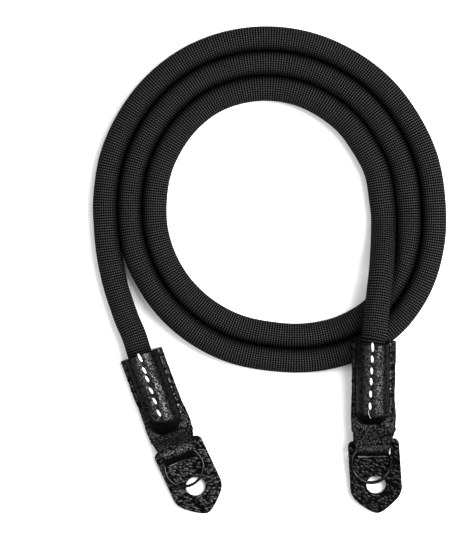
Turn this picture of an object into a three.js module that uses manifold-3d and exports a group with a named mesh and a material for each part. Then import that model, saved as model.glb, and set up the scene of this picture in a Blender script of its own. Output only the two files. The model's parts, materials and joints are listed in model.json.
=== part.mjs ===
// A coiled rope camera strap. A braided rope lies in a flat spiral of two and a half turns, and
// each of its two ends is sewn into a moulded leather sleeve. The sleeve's strip of leather runs on,
// folds through the slot of a pointed leather tab, and holds a split ring on the tab's face.
// Millimetres, +Z up. The coil lies flat at z = 0, +Y points away from the two leather ends, and the
// origin is below the middle of the whole strap.

import * as THREE from 'three';
import { mergeVertices } from 'three/addons/utils/BufferGeometryUtils.js';
import Module from 'manifold-3d';

const wasm = await Module();
wasm.setup();

// Driving dimensions

const gap = 0.3; // kept between neighbouring pieces
const leather = 1.2; // thickness of the sleeve's strip

const rope = {
  diameter: 9.8,
  sides: 12,
  steps: 140,
  hidden: 28.6, // length inside each sleeve
};
const ropeRest = 4.9; // height of its centre line where it lies on the ground

// The coil seen from above. Headings run clockwise from +Y in degrees, and the rope winds inwards
// by one pitch a turn.
const coil = {
  centreX: 0,
  centreY: 28.9,
  pitch: 10.05,
  firstHeading: -90,
  lastHeading: 795,
  headingStep: 15,
};

// How far the first turn would lie from the centre if it didn't wind inwards. The coil is a little
// flat, and bulges at its lower right, where the rope's inner end pushes it out.
const coilShape = [
  { heading: -90, radius: 67.2 },
  { heading: -60, radius: 67.3 },
  { heading: -30, radius: 68.2 },
  { heading: 0, radius: 68.4 },
  { heading: 30, radius: 68.4 },
  { heading: 60, radius: 69.2 },
  { heading: 90, radius: 71.6 },
  { heading: 120, radius: 76.4 },
  { heading: 135, radius: 77.6 },
  { heading: 150, radius: 76.6 },
  { heading: 180, radius: 72.2 },
  { heading: 210, radius: 70.3 },
  { heading: 240, radius: 68.6 },
  { heading: 270, radius: 67.2 },
];

// The rope's two free legs, from its sleeve's mouth to the coil and from the coil to the other
// mouth. The second leg climbs over the two turns that lie in its way.
const leftLeg = [
  { x: -55.5, y: -26.4, z: 5.9 },
  { x: -58.3, y: -20.0, z: 5.2 },
  { x: -60.5, y: -13.9, z: 4.9 },
  { x: -62.5, y: -7.8, z: 4.9 },
  { x: -64.1, y: -1.7, z: 4.9 },
  { x: -65.4, y: 4.4, z: 4.9 },
  { x: -66.3, y: 10.6, z: 4.9 },
  { x: -67.0, y: 19.6, z: 4.9 },
];
const rightLeg = [
  { x: 45.5, y: 28.9, z: 4.9 },
  { x: 46.2, y: 22.8, z: 4.9 },
  { x: 46.2, y: 16.7, z: 5.5 },
  { x: 45.9, y: 10.6, z: 7.7 },
  { x: 45.4, y: 4.4, z: 10.6 },
  { x: 44.8, y: -1.7, z: 13.0 },
  { x: 44.0, y: -7.8, z: 14.6 },
  { x: 43.3, y: -14.0, z: 15.6 },
  { x: 42.6, y: -20.0, z: 16.4 },
  { x: 42.0, y: -25.0, z: 17.0 },
];

// The two leather ends. Each starts at the middle of its sleeve's mouth and runs along its own -Y;
// x is across, and z is up from its back face.
const fittings = [
  {
    side: 'left',
    mouthX: -52.4,
    mouthY: -34.0,
    mouthHeight: 0,
    lean: 20.1, // degrees round Z
    fold: 45.9, // from the mouth to the folded end
    crownOffset: -0.6,
    mouthCut: 0, // how far the arch stands out past the wings at the mouth
    tabShift: 0.5,
    tabLean: 3.0,
    ringShift: 0.3,
  },
  {
    side: 'right',
    mouthX: 41.5,
    mouthY: -28.3,
    mouthHeight: 10.9,
    lean: 0.2,
    fold: 47.0,
    crownOffset: -0.2,
    mouthCut: 1.0,
    tabShift: 0.3,
    tabLean: 2.8,
    ringShift: -0.4,
  },
];

const arch = {
  wall: 1.15,
  footOut: 6.95, // where the moulded leather meets the wings
  flankOut: 6.6,
  flankHeight: 4.6,
  angleStep: 15,
  wingLeast: 0.5, // flat leather left outside the arch
  pocketSides: 24,
};

// The strip from the mouth to where the rope has ended: its half width, the height of its wings,
// how much of the arch is left, and how much of the arch's width.
const sleeveRows = [
  { at: 0, half: 8.75, top: 2.5, lift: 1, spread: 1 },
  { at: 10, half: 8.75, top: 2.5, lift: 1, spread: 1 },
  { at: 20, half: 8.8, top: 2.5, lift: 1, spread: 1 },
  { at: 29, half: 9.0, top: 2.5, lift: 1, spread: 1 },
  { at: 30.2, half: 9.0, top: 2.5, lift: 0.93, spread: 0.97 },
  { at: 31.4, half: 9.0, top: 2.5, lift: 0.74, spread: 0.92 },
  { at: 32.4, half: 8.95, top: 2.5, lift: 0.48, spread: 0.86 },
  { at: 33.3, half: 8.85, top: 2.55, lift: 0.2, spread: 0.8 },
  { at: 34.3, half: 8.7, top: 2.7, lift: 0, spread: 0.76 },
];

// The strip from there to its fold, measured back from the folded end. Under is how far its lower
// side rises where it turns round.
const foldRows = [
  { before: 10.0, half: 8.3, top: 3.2, under: 0 },
  { before: 8.6, half: 8.05, top: 4.3, under: 0 },
  { before: 7.2, half: 7.8, top: 5.8, under: 0 },
  { before: 5.8, half: 7.5, top: 6.5, under: 0 },
  { before: 4.4, half: 7.15, top: 6.5, under: 0 },
  { before: 3.2, half: 6.8, top: 6.5, under: 0 },
  { before: 2.0, half: 6.5, top: 6.2, under: 0.25 },
  { before: 1.0, half: 6.4, top: 5.6, under: 0.8 },
  { before: 0.3, half: 6.35, top: 4.8, under: 1.6 },
  { before: 0, half: 6.3, top: 4.0, under: 2.4 },
];

const tab = {
  thickness: 1.8,
  length: 31.0,
  halfTop: 10.2,
  halfWide: 10.3,
  shoulder: 20.5, // how far down its sides stay straight
  corner: 2.3,
  bar: 2.5, // leather above the slot
  beforeFold: 6.5, // from its top edge to the strip's folded end
  slotHalf: 6.6,
  slotHeight: 4.9,
  slotCorner: 1.2,
  holeRadius: 3.95,
  holeDown: 19.0,
  curveSegments: 6,
  roomSegments: 4,
};

// The tab's right edge from its shoulder to its rounded point, as distances out from the middle and
// up from the point. Each curve bends towards its own corner, and the left edge is its mirror image.
const tabPoint = [
  { corner: { out: 10.1, up: 7.2 }, end: { out: 7.2, up: 4.7 } },
  { corner: { out: 4.0, up: 1.7 }, end: { out: 1.8, up: 0.5 } },
];
const tabPointCorner = -0.5;

const ring = {
  outerRadius: 8.4,
  wire: 1.2, // across one turn of the wire
  turnHeight: 0.7, // two turns lie on each other
  edge: 0.2, // cut off its corners
  groove: 0.15, // how deep the two turns' seam is
  down: 9.7, // from the tab's top edge to its middle
  segments: 28,
};

// Materials

const braid = new THREE.MeshStandardMaterial({ color: 0x161616, roughness: 0.75, metalness: 0 });
const pebbled = new THREE.MeshStandardMaterial({ color: 0x1c1b1c, roughness: 0.5, metalness: 0 });
const plated = new THREE.MeshStandardMaterial({ color: 0x4a4a4e, roughness: 0.2, metalness: 1 });

// Solids

function toSolid(geometry) {
  const bare = geometry.clone();
  bare.deleteAttribute('normal');
  bare.deleteAttribute('uv');
  const merged = mergeVertices(bare, 1e-4);
  return new wasm.Manifold(
    new wasm.Mesh({
      numProp: 3,
      vertProperties: merged.attributes.position.array,
      triVerts: new Uint32Array(merged.index.array),
    }),
  );
}

function toGeometry(solid) {
  const mesh = solid.getMesh();
  const geometry = new THREE.BufferGeometry();
  geometry.setAttribute('position', new THREE.BufferAttribute(mesh.vertProperties, 3));
  geometry.setIndex(new THREE.BufferAttribute(mesh.triVerts, 1));
  geometry.computeVertexNormals();
  return geometry;
}

function roundShape(radius, sides) {
  const corners = [];
  for (let i = 0; i < sides; i += 1) {
    const angle = (2 * Math.PI * (i + 0.5)) / sides;
    corners.push(new THREE.Vector2(radius * Math.cos(angle), radius * Math.sin(angle)));
  }
  return new THREE.Shape(corners);
}

// The radius that gives a polygon the area of a circle
function polygonRadius(radius, sides) {
  return radius * Math.sqrt((2 * Math.PI) / (sides * Math.sin((2 * Math.PI) / sides)));
}

const ropeRadius = polygonRadius(rope.diameter / 2, rope.sides);
const axisHeight = leather + gap + ropeRadius;
const pocketRadius = ropeRadius + gap;
const archRadius = pocketRadius + arch.wall;
const ringHeight = 2 * ring.turnHeight;

// Where things are

function degrees(angle) {
  return THREE.MathUtils.degToRad(angle);
}

function tabTop(fitting) {
  return fitting.fold - tab.beforeFold;
}

// A raised mouth lets the whole leather end slope down until the tab's point meets the ground.
function fittingTilt(fitting) {
  return Math.asin(fitting.mouthHeight / (tabTop(fitting) + tab.length));
}

function placeFitting(fitting, object) {
  object.position.set(fitting.mouthX, fitting.mouthY, fitting.mouthHeight);
  object.rotation.set(fittingTilt(fitting), 0, degrees(fitting.lean), 'ZYX');
  object.updateMatrixWorld(true);
  return object;
}

// A point of the rope's centre line inside a sleeve
function sleevePoint(fitting, distance) {
  const frame = placeFitting(fitting, new THREE.Object3D());
  return frame.localToWorld(new THREE.Vector3(fitting.crownOffset, -distance, axisHeight));
}

function coilRadius(heading) {
  const turned = THREE.MathUtils.euclideanModulo(heading - coil.firstHeading, 360);
  const around = turned + coil.firstHeading;
  const next = Math.max(1, coilShape.findIndex((row) => row.heading >= around));
  const before = coilShape[next - 1];
  const after = coilShape[next];
  const share = (around - before.heading) / (after.heading - before.heading);
  const eased = THREE.MathUtils.smoothstep(share, 0, 1);
  const blend = (share + eased) / 2;
  const base = THREE.MathUtils.lerp(before.radius, after.radius, blend);
  return base - (coil.pitch * (heading - coil.firstHeading)) / 360;
}

function coilPoints() {
  const points = [];
  for (let h = coil.firstHeading; h <= coil.lastHeading; h += coil.headingStep) {
    const radius = coilRadius(h);
    const x = coil.centreX + radius * Math.sin(degrees(h));
    const y = coil.centreY + radius * Math.cos(degrees(h));
    points.push(new THREE.Vector3(x, y, ropeRest));
  }
  return points;
}

function ropeRoute() {
  const [left, right] = fittings;
  const legPoint = ({ x, y, z }) => new THREE.Vector3(x, y, z);
  return new THREE.CatmullRomCurve3([
    sleevePoint(left, rope.hidden),
    sleevePoint(left, rope.hidden / 2),
    sleevePoint(left, 0),
    ...leftLeg.map(legPoint),
    ...coilPoints(),
    ...rightLeg.map(legPoint),
    sleevePoint(right, 0),
    sleevePoint(right, rope.hidden / 2),
    sleevePoint(right, rope.hidden),
  ]);
}

// Pieces

function makeRope() {
  const shape = roundShape(ropeRadius, rope.sides);
  const geometry = new THREE.ExtrudeGeometry(shape, {
    steps: rope.steps,
    extrudePath: ropeRoute(),
    bevelEnabled: false,
  });
  const mesh = new THREE.Mesh(geometry, braid);
  mesh.name = 'rope';
  return mesh;
}

// One half-round arch over the rope, from the foot on the left to the foot on the right, as
// distances out from the rope and up from the back face
function archLine() {
  const line = [
    { out: -arch.footOut, up: 0 },
    { out: -arch.flankOut, up: arch.flankHeight },
  ];
  for (let angle = 180; angle >= 0; angle -= arch.angleStep) {
    line.push({
      out: archRadius * Math.cos(degrees(angle)),
      up: axisHeight + archRadius * Math.sin(degrees(angle)),
    });
  }
  line.push({ out: arch.flankOut, up: arch.flankHeight });
  line.push({ out: arch.footOut, up: 0 });
  return line;
}

// One row across the strip: its upper and lower points from left to right
function stripSection(fitting, row) {
  const offset = fitting.crownOffset * row.spread;
  const room = (row.half - arch.wingLeast - Math.abs(offset)) / arch.footOut;
  const spread = Math.min(row.spread, room);
  const line = archLine().map(({ out, up }) => ({
    x: offset + out * spread,
    z: row.top + Math.max(0, up - row.top) * row.lift,
  }));
  line.unshift({ x: -row.half, z: row.top });
  line.push({ x: row.half, z: row.top });
  const crown = axisHeight + archRadius;
  const upper = [];
  const lower = [];
  for (const { x, z } of line) {
    const cut = (row.cut * (z - row.top)) / (crown - row.top);
    upper.push(new THREE.Vector3(x, -row.at + cut, z));
    lower.push(new THREE.Vector3(x, -row.at, row.under));
  }
  return { upper, lower };
}

function stripRows(fitting) {
  const flat = sleeveRows.at(-1);
  const sleeve = sleeveRows.map((row, i) => ({
    ...row,
    under: 0,
    cut: i === 0 ? fitting.mouthCut : 0,
  }));
  const fold = foldRows.map(({ before, ...row }) => ({
    ...row,
    at: fitting.fold - before,
    lift: 0,
    spread: flat.spread,
    cut: 0,
  }));
  return [...sleeve, ...fold];
}

// A closed skin over rows of upper and lower points
function loft(sections) {
  const across = sections[0].upper.length;
  const half = sections.length * across;
  const points = [
    ...sections.flatMap((section) => section.upper),
    ...sections.flatMap((section) => section.lower),
  ];
  const faces = [];
  const quad = (a, b, c, d) => faces.push(a, b, c, a, c, d);
  for (let r = 0; r + 1 < sections.length; r += 1) {
    for (let c = 0; c + 1 < across; c += 1) {
      const a = r * across + c;
      const next = a + across;
      quad(a, next, next + 1, a + 1);
      quad(half + a, half + a + 1, half + next + 1, half + next);
    }
    const left = r * across;
    const right = left + across - 1;
    quad(left, half + left, half + left + across, left + across);
    quad(right, right + across, half + right + across, half + right);
  }
  const last = half - across;
  for (let c = 0; c + 1 < across; c += 1) {
    quad(c, c + 1, half + c + 1, half + c);
    quad(last + c, half + last + c, half + last + c + 1, last + c + 1);
  }
  const geometry = new THREE.BufferGeometry().setFromPoints(points);
  geometry.setIndex(faces);
  return geometry;
}

// The tab's outline with its slot, grown all round by some clearance
function tabShape(clearance) {
  const top = clearance;
  const halfTop = tab.halfTop + clearance;
  const halfWide = tab.halfWide + clearance;
  const corner = tab.corner + clearance;
  const tip = -tab.length - clearance;
  const shape = new THREE.Shape();
  shape.moveTo(-halfWide, -tab.shoulder);
  shape.lineTo(-halfTop, top - corner);
  shape.absarc(corner - halfTop, top - corner, corner, Math.PI, Math.PI / 2, true);
  shape.lineTo(halfTop - corner, top);
  shape.absarc(halfTop - corner, top - corner, corner, Math.PI / 2, 0, true);
  shape.lineTo(halfWide, -tab.shoulder);
  const [upper, lower] = tabPoint;
  const curveTo = (bend, end, side) =>
    shape.quadraticCurveTo(side * bend.out, tip + bend.up, side * end.out, tip + end.up);
  curveTo(upper.corner, upper.end, 1);
  curveTo(lower.corner, lower.end, 1);
  shape.quadraticCurveTo(0, tip + tabPointCorner, -lower.end.out, tip + lower.end.up);
  curveTo(lower.corner, upper.end, -1);
  shape.quadraticCurveTo(-upper.corner.out, tip + upper.corner.up, -halfWide, -tab.shoulder);

  const slotHalf = tab.slotHalf - clearance;
  const slotTop = -tab.bar - clearance;
  const slotFoot = -tab.bar - tab.slotHeight + clearance;
  const round = tab.slotCorner;
  const slot = new THREE.Path();
  slot.moveTo(round - slotHalf, slotFoot);
  slot.lineTo(slotHalf - round, slotFoot);
  slot.absarc(slotHalf - round, slotFoot + round, round, -Math.PI / 2, 0, false);
  slot.lineTo(slotHalf, slotTop - round);
  slot.absarc(slotHalf - round, slotTop - round, round, 0, Math.PI / 2, false);
  slot.lineTo(round - slotHalf, slotTop);
  slot.absarc(round - slotHalf, slotTop - round, round, Math.PI / 2, Math.PI, false);
  slot.lineTo(-slotHalf, slotFoot + round);
  slot.absarc(round - slotHalf, slotFoot + round, round, Math.PI, 1.5 * Math.PI, false);
  shape.holes.push(slot);
  return shape;
}

function tabGeometry() {
  const shape = tabShape(0);
  const hole = new THREE.Path();
  hole.absarc(0, -tab.holeDown, tab.holeRadius, 0, 2 * Math.PI, false);
  shape.holes.push(hole);
  return new THREE.ExtrudeGeometry(shape, {
    depth: tab.thickness,
    bevelEnabled: false,
    curveSegments: tab.curveSegments,
  });
}

function tabCutter() {
  const cutter = new THREE.ExtrudeGeometry(tabShape(gap), {
    depth: tab.thickness + 2 * gap,
    bevelEnabled: false,
    curveSegments: tab.roomSegments,
  });
  cutter.translate(0, 0, -gap);
  return cutter;
}

// A ring round Z whose section is given as distances from its middle radius and heights
function turned(section) {
  const middle = ring.outerRadius - ring.wire / 2;
  const profile = section.map(([out, up]) => new THREE.Vector2(middle + out, up));
  profile.push(profile[0].clone());
  const geometry = new THREE.LatheGeometry(profile, ring.segments);
  geometry.rotateX(Math.PI / 2);
  return geometry;
}

// Two turns of wire pressed together, with the groove between them
function ringGeometry() {
  const out = ring.wire / 2;
  const turn = ring.turnHeight;
  const ease = ring.edge;
  const groove = out - ring.groove;
  return turned([
    [out - ease, 0],
    [out, ease],
    [out, turn - ease],
    [groove, turn],
    [out, turn + ease],
    [out, 2 * turn - ease],
    [out - ease, 2 * turn],
    [ease - out, 2 * turn],
    [-out, 2 * turn - ease],
    [-out, turn + ease],
    [-groove, turn],
    [-out, turn - ease],
    [-out, ease],
    [ease - out, 0],
  ]);
}

function ringCutter() {
  const out = ring.wire / 2 + gap;
  return turned([
    [out, -gap],
    [out, ringHeight + gap],
    [-out, ringHeight + gap],
    [-out, -gap],
  ]);
}

// The tab and the ring turn together on the fold: a frame at the tab's top edge, sloping down so
// that the tab's point reaches the level of the strip's back face
function tabFrame(fitting) {
  const frame = new THREE.Group();
  const slope = Math.asin((leather + gap) / (tab.length - tab.bar));
  const rise = tab.bar * Math.sin(slope);
  frame.position.set(fitting.tabShift, -tabTop(fitting), leather + gap + rise);
  frame.rotation.set(slope, 0, degrees(fitting.tabLean), 'ZYX');
  return frame;
}

function ringPlace(fitting) {
  return new THREE.Vector3(
    fitting.ringShift - fitting.tabShift + ring.down * Math.sin(degrees(-fitting.tabLean)),
    -ring.down,
    tab.thickness + gap,
  );
}

function makeTab(fitting) {
  const mesh = new THREE.Mesh(tabGeometry(), pebbled);
  mesh.name = `${fitting.side}_tab`;
  return mesh;
}

function makeRing(fitting) {
  const mesh = new THREE.Mesh(ringGeometry(), plated);
  mesh.name = `${fitting.side}_ring`;
  mesh.position.copy(ringPlace(fitting));
  return mesh;
}

// The moulded strip, cut free of the rope, the tab and the ring that it holds
function makeSleeve(fitting) {
  const skin = loft(stripRows(fitting).map((row) => stripSection(fitting, row)));

  const pocketLength = rope.hidden + gap;
  const mouthRoom = 5; // cut clear beyond the mouth
  const radius = polygonRadius(pocketRadius, arch.pocketSides);
  const pocket = new THREE.CylinderGeometry(
    radius,
    radius,
    pocketLength + mouthRoom,
    arch.pocketSides,
  );
  pocket.translate(fitting.crownOffset, (mouthRoom - pocketLength) / 2, axisHeight);

  const frame = tabFrame(fitting);
  frame.updateMatrix();
  const tabRoom = tabCutter().applyMatrix4(frame.matrix);
  const place = ringPlace(fitting);
  const ringRoom = ringCutter().translate(place.x, place.y, place.z).applyMatrix4(frame.matrix);

  const solid = toSolid(skin)
    .subtract(toSolid(pocket))
    .subtract(toSolid(tabRoom))
    .subtract(toSolid(ringRoom));
  const mesh = new THREE.Mesh(toGeometry(solid), pebbled);
  mesh.name = `${fitting.side}_sleeve`;
  return mesh;
}

function makeFitting(fitting) {
  const group = placeFitting(fitting, new THREE.Group());
  const hanging = tabFrame(fitting);
  hanging.add(makeTab(fitting), makeRing(fitting));
  group.add(makeSleeve(fitting), hanging);
  return group;
}

const strap = new THREE.Group();
strap.add(makeRope(), ...fittings.map(makeFitting));

export default strap;
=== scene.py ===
# %% [markdown]
# # A coiled rope camera strap
#
# This lesson dresses a CAD model of a camera strap: a braided rope laid in a flat spiral, and at each
# of its two ends a moulded leather sleeve, a split ring and a pointed leather tab. The CAD model fixes
# every size and place. Blender adds what CAD leaves out: the braid, the leather's grain, the stitches
# and the light.

# %% Start with an empty scene and the CAD frame

import json
import math

import bmesh
import bpy
import numpy as np
from mathutils import Matrix, Vector, kdtree, noise

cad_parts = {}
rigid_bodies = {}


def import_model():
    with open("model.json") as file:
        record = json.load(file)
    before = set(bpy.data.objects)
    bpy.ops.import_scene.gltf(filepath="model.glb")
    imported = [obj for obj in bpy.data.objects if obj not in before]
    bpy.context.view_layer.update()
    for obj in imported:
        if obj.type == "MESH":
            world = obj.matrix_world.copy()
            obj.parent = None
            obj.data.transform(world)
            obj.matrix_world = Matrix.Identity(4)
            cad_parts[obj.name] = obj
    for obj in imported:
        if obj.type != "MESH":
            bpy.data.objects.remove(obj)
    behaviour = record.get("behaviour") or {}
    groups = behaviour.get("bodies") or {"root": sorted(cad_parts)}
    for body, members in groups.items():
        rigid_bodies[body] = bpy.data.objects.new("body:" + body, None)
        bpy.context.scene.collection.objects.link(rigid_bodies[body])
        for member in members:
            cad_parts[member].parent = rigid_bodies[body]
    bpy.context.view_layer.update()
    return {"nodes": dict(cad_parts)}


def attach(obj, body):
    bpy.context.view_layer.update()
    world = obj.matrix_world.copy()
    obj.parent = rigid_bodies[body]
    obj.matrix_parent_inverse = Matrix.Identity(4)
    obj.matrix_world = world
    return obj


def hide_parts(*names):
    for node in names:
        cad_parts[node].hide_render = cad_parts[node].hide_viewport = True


for left_over in list(bpy.data.objects):
    bpy.data.objects.remove(left_over)

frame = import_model()
MM = 0.001  # Blender works in metres, and the strap's sizes are in millimetres

# %% [markdown]
# ## The camera
#
# The strap was photographed from straight above. A long lens far away keeps the perspective weak, so
# that the raised leather end looks hardly bigger than the one that lies flat. The lens follows from
# how far away the camera is and how much of the table the picture's long side covers.

# %% Camera

SENSOR = 36.0
rope_rest = 4.9 * MM  # height of the rope's centre line on the table
camera_distance = 1.1  # above that height
picture_height = 217.9 * MM  # what the long side covers there
picture_centre = Vector((-14.3, 1.6, 0)) * MM

camera = bpy.data.objects.new("camera", bpy.data.cameras.new("camera"))
camera.data.sensor_width = SENSOR
camera.data.lens = SENSOR * camera_distance / picture_height
camera.data.clip_end = 20
camera.location = picture_centre + Vector((0, 0, rope_rest + camera_distance))
bpy.context.scene.collection.objects.link(camera)
bpy.context.scene.camera = camera
print("lens", round(camera.data.lens, 1), "mm")

# %% [markdown]
# ## The route of the rope
#
# Everything about a rope follows from its centre line. The CAD model ran a smooth curve through a
# short list of points, so the same points and the same kind of curve give the same line here. The
# curve is a centripetal Catmull-Rom spline, which passes through every point and doesn't overshoot
# where they are unevenly spaced.
#
# The points are those of a straight run inside each sleeve, of two free legs, and of a spiral, which
# is given as a radius for each compass heading.

# %% Where the two leather ends lie

GAP = 0.3  # the CAD model's clearance between pieces
LEATHER = 1.2  # thickness of the sleeve's strip
ROPE_RADIUS = 4.9
AXIS_HEIGHT = 6.514  # of the rope over the sleeve's back
HIDDEN = 28.6  # length of rope inside each sleeve
TAB_LENGTH = 31.0
TAB_BEFORE_FOLD = 6.5  # from the tab's top edge to the sleeve's folded end

# mouth is the middle of the sleeve's open end, and mouth_cut how far its top is cut back. lean and
# tab_lean are turns in degrees, and fold is how far the folded end is from the mouth. crown, tab_shift
# and ring_shift are measured across the strip.
ends = {
    "left": {
        "mouth": (-52.4, -34.0, 0.0), "lean": 20.1, "fold": 45.9, "crown": -0.6, "mouth_cut": 0.0,
        "tab_shift": 0.5, "tab_lean": 3.0, "ring_shift": 0.3,
    },
    "right": {
        "mouth": (41.5, -28.3, 10.9), "lean": 0.2, "fold": 47.0, "crown": -0.2, "mouth_cut": 0.2,
        "tab_shift": 0.3, "tab_lean": 2.8, "ring_shift": -0.4,
    },
}


def each_end(**values):
    """Adds values to both ends. Each is given for the left end and for the right."""
    for name, (left, right) in values.items():
        ends["left"][name], ends["right"][name] = left, right


def end_matrix(end):
    """From a leather end's own millimetres, with the mouth at zero and -Y towards its tab."""
    tilt = math.asin(end["mouth"][2] / (end["fold"] - TAB_BEFORE_FOLD + TAB_LENGTH))
    return (
        Matrix.Translation(end["mouth"])
        @ Matrix.Rotation(math.radians(end["lean"]), 4, "Z")
        @ Matrix.Rotation(tilt, 4, "X")
    )


def sleeve_point(end, distance):
    """A point of the rope's centre line inside a sleeve"""
    return end_matrix(end) @ Vector((end["crown"], -distance, AXIS_HEIGHT))


# %% The spiral and the two legs

COIL_CENTRE = (0.0, 28.9)
COIL_PITCH = 10.05
FIRST_HEADING, LAST_HEADING, HEADING_STEP = -90, 795, 15
coil_shape = [
    (-90, 67.2), (-60, 67.3), (-30, 68.2), (0, 68.4), (30, 68.4), (60, 69.2), (90, 71.6),
    (120, 76.4), (135, 77.6), (150, 76.6), (180, 72.2), (210, 70.3), (240, 68.6), (270, 67.2),
]
# headings, and how far inwards of the spiral the rope already runs there before it leaves the coil
leaving = ([690, 735, 765, 780, 795], [0.0, 0.35, 0.7, 0.9, 0.75])
left_leg = [
    (-55.5, -26.4, 5.9), (-58.3, -20.0, 5.2), (-60.5, -13.9, 4.9), (-62.5, -7.8, 4.9),
    (-64.1, -1.7, 4.9), (-65.4, 4.4, 4.9), (-66.3, 10.6, 4.9), (-67.0, 19.6, 4.9),
]
right_leg = [
    (45.45, 28.9, 4.9), (46.2, 22.8, 4.9), (46.2, 16.7, 5.5), (45.9, 10.6, 7.7), (45.4, 4.4, 10.6),
    (44.8, -1.7, 13.0), (44.0, -7.8, 14.6), (43.3, -14.0, 15.6), (42.6, -20.0, 16.4), (42.0, -25.0, 17.0),
]


def coil_radius(heading):
    """The spiral's radius. It shrinks by the pitch each turn, and its shape isn't quite round."""
    around = (heading - FIRST_HEADING) % 360 + FIRST_HEADING
    after = next(i for i in range(1, len(coil_shape)) if coil_shape[i][0] >= around)
    (h0, r0), (h1, r1) = coil_shape[after - 1], coil_shape[after]
    share = (around - h0) / (h1 - h0)
    blend = (share + share * share * (3 - 2 * share)) / 2
    return r0 + (r1 - r0) * blend - COIL_PITCH * (heading - FIRST_HEADING) / 360


def coil_point(heading):
    turned = math.radians(heading)
    radius = coil_radius(heading) - np.interp(heading, *leaving)
    x = COIL_CENTRE[0] + radius * math.sin(turned)
    y = COIL_CENTRE[1] + radius * math.cos(turned)
    return Vector((x, y, rope_rest / MM))


route = [
    *(sleeve_point(ends["left"], d) for d in (HIDDEN, HIDDEN / 2, 0)),
    *map(Vector, left_leg),
    *(coil_point(h) for h in range(FIRST_HEADING, LAST_HEADING + 1, HEADING_STEP)),
    *map(Vector, right_leg),
    *(sleeve_point(ends["right"], d) for d in (0, HIDDEN / 2, HIDDEN)),
]
print("route of", len(route), "points")

# %% A smooth curve through the points


def spline(points, steps=24):
    """A centripetal Catmull-Rom curve through the points, sampled between each two of them."""
    p = np.array(points, float)
    p = np.vstack([2 * p[0] - p[1], p, 2 * p[-1] - p[-2]])
    share = np.linspace(0, 1, steps, endpoint=False)[:, None]
    pieces = []
    for p0, p1, p2, p3 in zip(p, p[1:], p[2:], p[3:]):
        t0, t1, t2 = (math.sqrt(np.linalg.norm(b - a)) for a, b in ((p0, p1), (p1, p2), (p2, p3)))
        m1 = t1 * ((p1 - p0) / t0 - (p2 - p0) / (t0 + t1) + (p2 - p1) / t1)
        m2 = t1 * ((p2 - p1) / t1 - (p3 - p1) / (t1 + t2) + (p3 - p2) / t2)
        square, cube = share**2, share**3
        pieces.append(
            p1 + m1 * share + (3 * (p2 - p1) - 2 * m1 - m2) * square + (2 * (p1 - p2) + m1 + m2) * cube
        )
    return np.vstack([*pieces, p[-2]])


def evenly(points, count):
    """The same line as count points that are evenly spaced along it, and its length."""
    along = np.concatenate([[0], np.cumsum(np.linalg.norm(np.diff(points, axis=0), axis=1))])
    at = np.linspace(0, along[-1], count)
    return np.column_stack([np.interp(at, along, points[:, k]) for k in range(3)]), along[-1]


def side_vectors(line, first=(0, 0, 1)):
    """At each point, two directions square to the line that turn with it and never twist."""
    ahead = np.gradient(line, axis=0)
    ahead /= np.linalg.norm(ahead, axis=1)[:, None]
    up = np.array(first, float)
    ups = []
    for t in ahead:
        up = up - (up @ t) * t
        up /= np.linalg.norm(up)
        ups.append(up)
    ups = np.array(ups)
    return ups, np.cross(ahead, ups)


rope_line, rope_length = evenly(spline(route), 4000)
print("rope length", round(rope_length, 1), "mm")

# %% [markdown]
# ## The rope's braid
#
# The cover is a fine herringbone braid. It has 32 columns that run along the rope, and each column is
# a row of short floats, the places where a yarn comes to the top. The floats of neighbouring columns
# lean opposite ways, so that together they make zigzag lines across the rope.
#
# The mesh holds the floats' crests. It has one column of vertices for each column of floats and two
# rings for each float, so that every other ring lies in a valley and is moved inwards. The floats'
# lean, the lines between the columns and the filaments are finer, and come from the material. It
# reads the same counts from the UV map: U goes once round the rope, and V along it in metres.
#
# The tube is a flat grid wrapped round the line, so that each ring has its own place in the braid.

# %% A grid wrapped round a line

UV_NAME = "UVMap"


def mesh_object(name, bm):
    """Puts a finished bmesh in the scene as an object at the origin."""
    mesh = bpy.data.meshes.new(name)
    bm.to_mesh(mesh)
    bm.free()
    mesh.polygons.foreach_set("use_smooth", np.ones(len(mesh.polygons), bool))
    piece = bpy.data.objects.new(name, mesh)
    bpy.context.scene.collection.objects.link(piece)
    return piece


def grid_mesh(name, across, along, place, closed=False):
    """A grid of across by along faces. place gets every corner's two shares, from 0 to 1, and its two
    whole numbers, and returns where it goes in metres. A closed grid is welded into a tube."""
    bm = bmesh.new()
    uv_layer = bm.loops.layers.uv.new(UV_NAME)
    bmesh.ops.create_grid(bm, x_segments=across, y_segments=along, size=0.5, calc_uvs=True)
    corners = np.array([v.co[:2] for v in bm.verts]) + 0.5
    columns = np.rint(corners[:, 0] * across).astype(int)
    rows = np.rint(corners[:, 1] * along).astype(int)
    for face in bm.faces:
        for loop in face.loops:
            loop[uv_layer].uv = loop.vert.co[0] + 0.5, loop.vert.co[1] + 0.5
    places = place(columns / across, rows / along, columns, rows)
    for v, co in zip(bm.verts, places):
        v.co = co
    if closed:
        bmesh.ops.remove_doubles(bm, verts=bm.verts, dist=1e-7)
        rims = [e for e in bm.edges if e.is_boundary]
        bmesh.ops.holes_fill(bm, edges=rims)
        bmesh.ops.recalc_face_normals(bm, faces=bm.faces)
    return mesh_object(name, bm)


def store(piece, name, values):
    """Keeps one number for each corner of a mesh, for its material to read."""
    layer = piece.data.attributes.new(name, "FLOAT", "POINT")
    layer.data.foreach_set("value", np.asarray(values, np.float32))


def in_metres(matrix, places):
    """Places in a leather end's own millimetres, taken to the scene's metres"""
    return (places @ np.array(matrix.to_3x3()).T + np.array(matrix.translation)) * MM


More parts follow.
